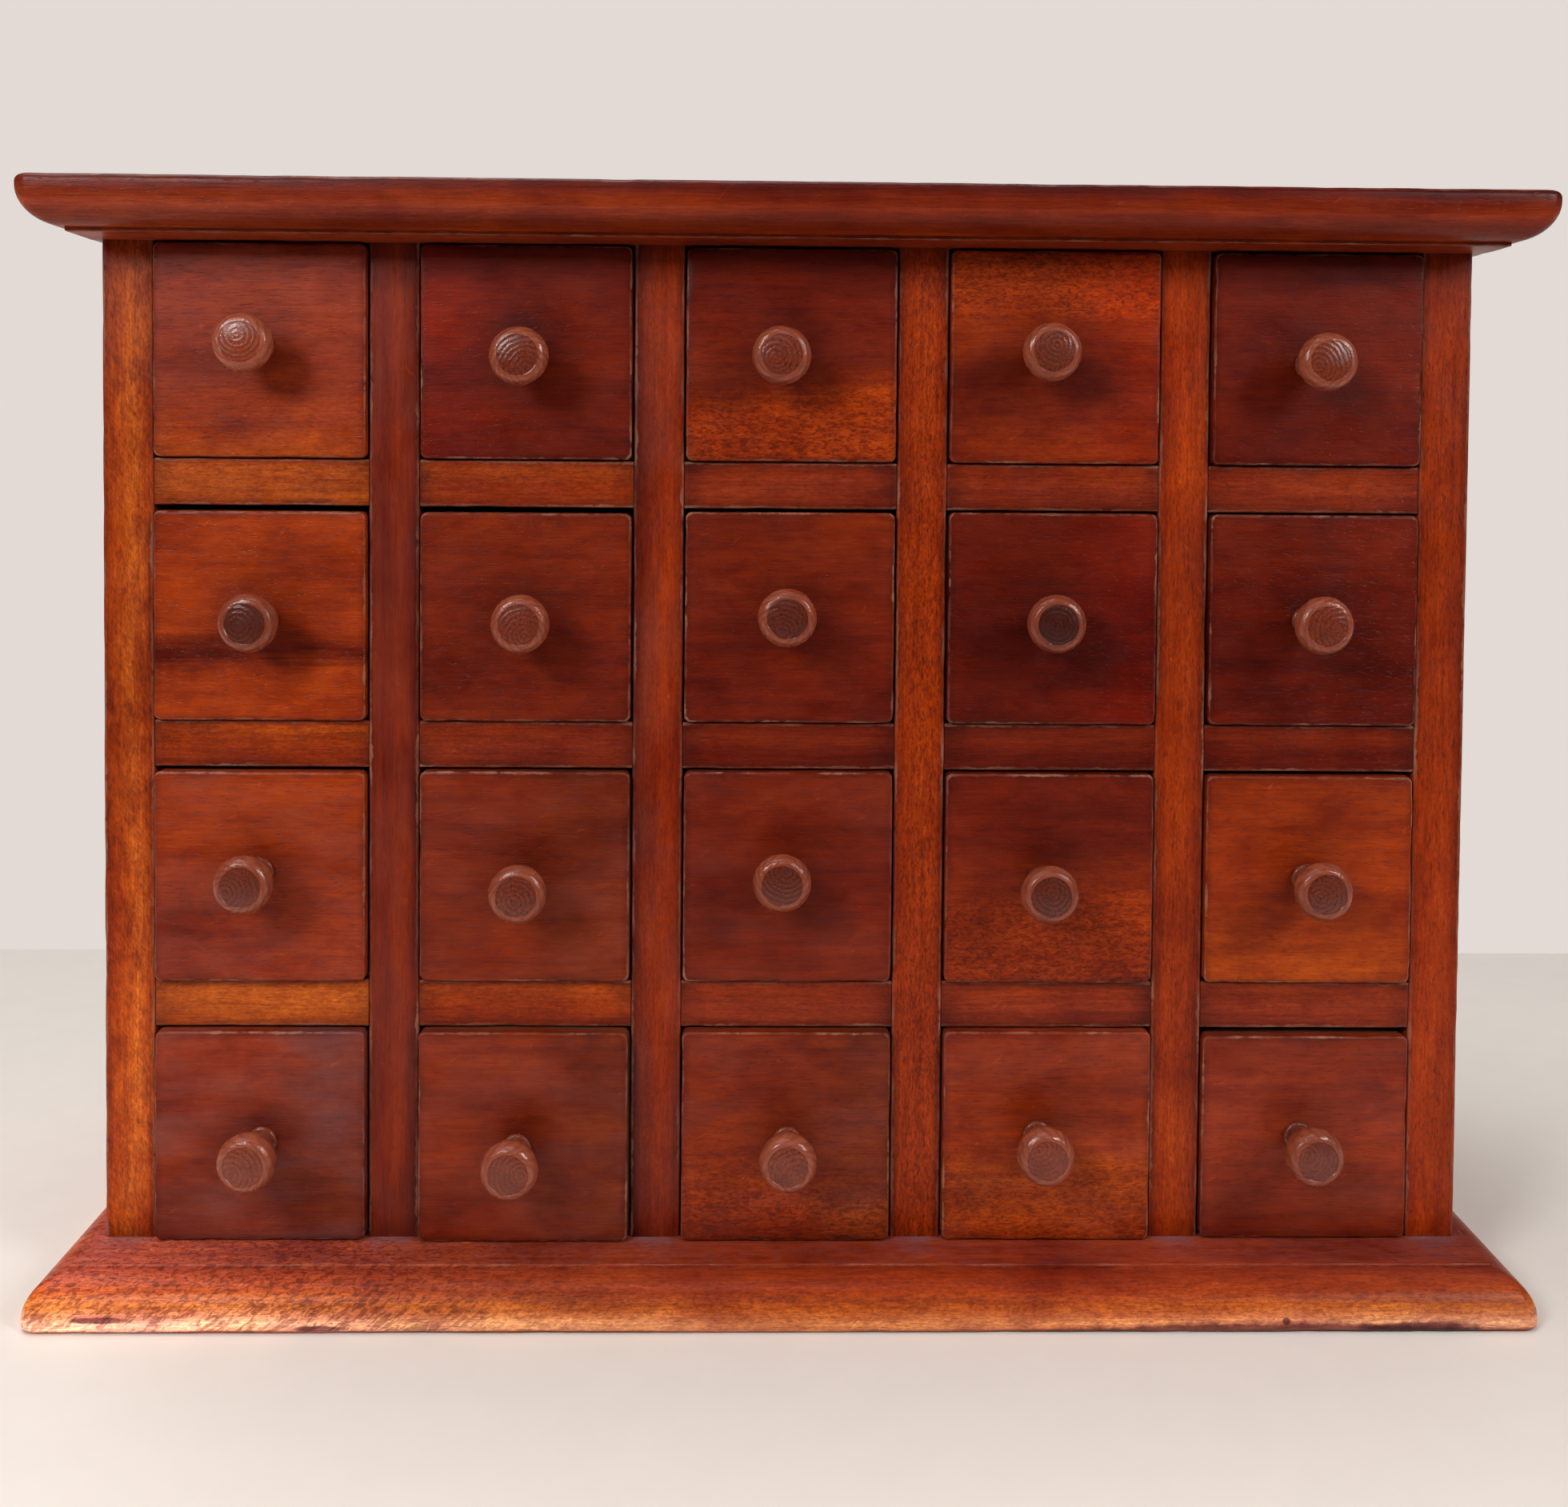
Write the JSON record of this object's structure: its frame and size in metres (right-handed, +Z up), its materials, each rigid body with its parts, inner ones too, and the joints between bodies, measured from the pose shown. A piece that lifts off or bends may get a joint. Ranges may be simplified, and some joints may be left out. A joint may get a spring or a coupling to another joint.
{
  "type": "spice drawer cabinet",
  "caption": "Tabletop wooden cabinet with a grid of small sliding drawers, turned knobs and moulded top and base boards.",
  "frame": {"origin": "on the table, under the middle of the bounding box", "axes": "+X along the width to the right as seen from the front, +Y from the drawers to the back, +Z up"},
  "size_m": [0.4668, 0.1686, 0.3506],
  "materials": {
    "case_wood": "mahogany-stained hardwood under satin shellac, worn at the edges",
    "front_wood": "mahogany-stained drawer front on a raw pale wood box",
    "knob_wood": "turned hardwood, thin matt stain",
    "panel_wood": "thin unfinished board, aged",
    "dowel_wood": "plain beech",
    "steel": "dull countersunk wood screws and panel pins"
  },
  "bodies": {
    "case": {"base_board": "case_wood", "top_board": "case_wood", "side_left": "case_wood", "side_right": "case_wood", "divider_1": "case_wood", "divider_2": "case_wood", "divider_3": "case_wood", "divider_4": "case_wood", "shelf_row_1": "case_wood", "shelf_row_2": "case_wood", "shelf_row_3": "case_wood", "back_panel": "panel_wood", "base_screws": "steel", "panel_pins": "steel", "top_dowels": "dowel_wood"},
    "drawer_r1c1": {"drawer_r1c1": "front_wood", "knob_r1c1": "knob_wood"},
    "drawer_r1c2": {"drawer_r1c2": "front_wood", "knob_r1c2": "knob_wood"},
    "drawer_r1c3": {"drawer_r1c3": "front_wood", "knob_r1c3": "knob_wood"},
    "drawer_r1c4": {"drawer_r1c4": "front_wood", "knob_r1c4": "knob_wood"},
    "drawer_r1c5": {"drawer_r1c5": "front_wood", "knob_r1c5": "knob_wood"},
    "drawer_r2c1": {"drawer_r2c1": "front_wood", "knob_r2c1": "knob_wood"},
    "drawer_r2c2": {"drawer_r2c2": "front_wood", "knob_r2c2": "knob_wood"},
    "drawer_r2c3": {"drawer_r2c3": "front_wood", "knob_r2c3": "knob_wood"},
    "drawer_r2c4": {"drawer_r2c4": "front_wood", "knob_r2c4": "knob_wood"},
    "drawer_r2c5": {"drawer_r2c5": "front_wood", "knob_r2c5": "knob_wood"},
    "drawer_r3c1": {"drawer_r3c1": "front_wood", "knob_r3c1": "knob_wood"},
    "drawer_r3c2": {"drawer_r3c2": "front_wood", "knob_r3c2": "knob_wood"},
    "drawer_r3c3": {"drawer_r3c3": "front_wood", "knob_r3c3": "knob_wood"},
    "drawer_r3c4": {"drawer_r3c4": "front_wood", "knob_r3c4": "knob_wood"},
    "drawer_r3c5": {"drawer_r3c5": "front_wood", "knob_r3c5": "knob_wood"},
    "drawer_r4c1": {"drawer_r4c1": "front_wood", "knob_r4c1": "knob_wood"},
    "drawer_r4c2": {"drawer_r4c2": "front_wood", "knob_r4c2": "knob_wood"},
    "drawer_r4c3": {"drawer_r4c3": "front_wood", "knob_r4c3": "knob_wood"},
    "drawer_r4c4": {"drawer_r4c4": "front_wood", "knob_r4c4": "knob_wood"},
    "drawer_r4c5": {"drawer_r4c5": "front_wood", "knob_r4c5": "knob_wood"}
  },
  "joints": [
    {"name": "slide_r1c1", "type": "slide", "parent": "case", "child": "drawer_r1c1", "axis": [0, -1, 0], "range_m": [0, 0.105]},
    {"name": "slide_r1c2", "type": "slide", "parent": "case", "child": "drawer_r1c2", "axis": [0, -1, 0], "range_m": [0, 0.105]},
    {"name": "slide_r1c3", "type": "slide", "parent": "case", "child": "drawer_r1c3", "axis": [0, -1, 0], "range_m": [0, 0.105]},
    {"name": "slide_r1c4", "type": "slide", "parent": "case", "child": "drawer_r1c4", "axis": [0, -1, 0], "range_m": [0, 0.105]},
    {"name": "slide_r1c5", "type": "slide", "parent": "case", "child": "drawer_r1c5", "axis": [0, -1, 0], "range_m": [0, 0.105]},
    {"name": "slide_r2c1", "type": "slide", "parent": "case", "child": "drawer_r2c1", "axis": [0, -1, 0], "range_m": [0, 0.105]},
    {"name": "slide_r2c2", "type": "slide", "parent": "case", "child": "drawer_r2c2", "axis": [0, -1, 0], "range_m": [0, 0.105]},
    {"name": "slide_r2c3", "type": "slide", "parent": "case", "child": "drawer_r2c3", "axis": [0, -1, 0], "range_m": [0, 0.105]},
    {"name": "slide_r2c4", "type": "slide", "parent": "case", "child": "drawer_r2c4", "axis": [0, -1, 0], "range_m": [0, 0.105]},
    {"name": "slide_r2c5", "type": "slide", "parent": "case", "child": "drawer_r2c5", "axis": [0, -1, 0], "range_m": [0, 0.105]},
    {"name": "slide_r3c1", "type": "slide", "parent": "case", "child": "drawer_r3c1", "axis": [0, -1, 0], "range_m": [0, 0.105]},
    {"name": "slide_r3c2", "type": "slide", "parent": "case", "child": "drawer_r3c2", "axis": [0, -1, 0], "range_m": [0, 0.105]},
    {"name": "slide_r3c3", "type": "slide", "parent": "case", "child": "drawer_r3c3", "axis": [0, -1, 0], "range_m": [0, 0.105]},
    {"name": "slide_r3c4", "type": "slide", "parent": "case", "child": "drawer_r3c4", "axis": [0, -1, 0], "range_m": [0, 0.105]},
    {"name": "slide_r3c5", "type": "slide", "parent": "case", "child": "drawer_r3c5", "axis": [0, -1, 0], "range_m": [0, 0.105]},
    {"name": "slide_r4c1", "type": "slide", "parent": "case", "child": "drawer_r4c1", "axis": [0, -1, 0], "range_m": [0, 0.105]},
    {"name": "slide_r4c2", "type": "slide", "parent": "case", "child": "drawer_r4c2", "axis": [0, -1, 0], "range_m": [0, 0.105]},
    {"name": "slide_r4c3", "type": "slide", "parent": "case", "child": "drawer_r4c3", "axis": [0, -1, 0], "range_m": [0, 0.105]},
    {"name": "slide_r4c4", "type": "slide", "parent": "case", "child": "drawer_r4c4", "axis": [0, -1, 0], "range_m": [0, 0.105]},
    {"name": "slide_r4c5", "type": "slide", "parent": "case", "child": "drawer_r4c5", "axis": [0, -1, 0], "range_m": [0, 0.105]}
  ]
}
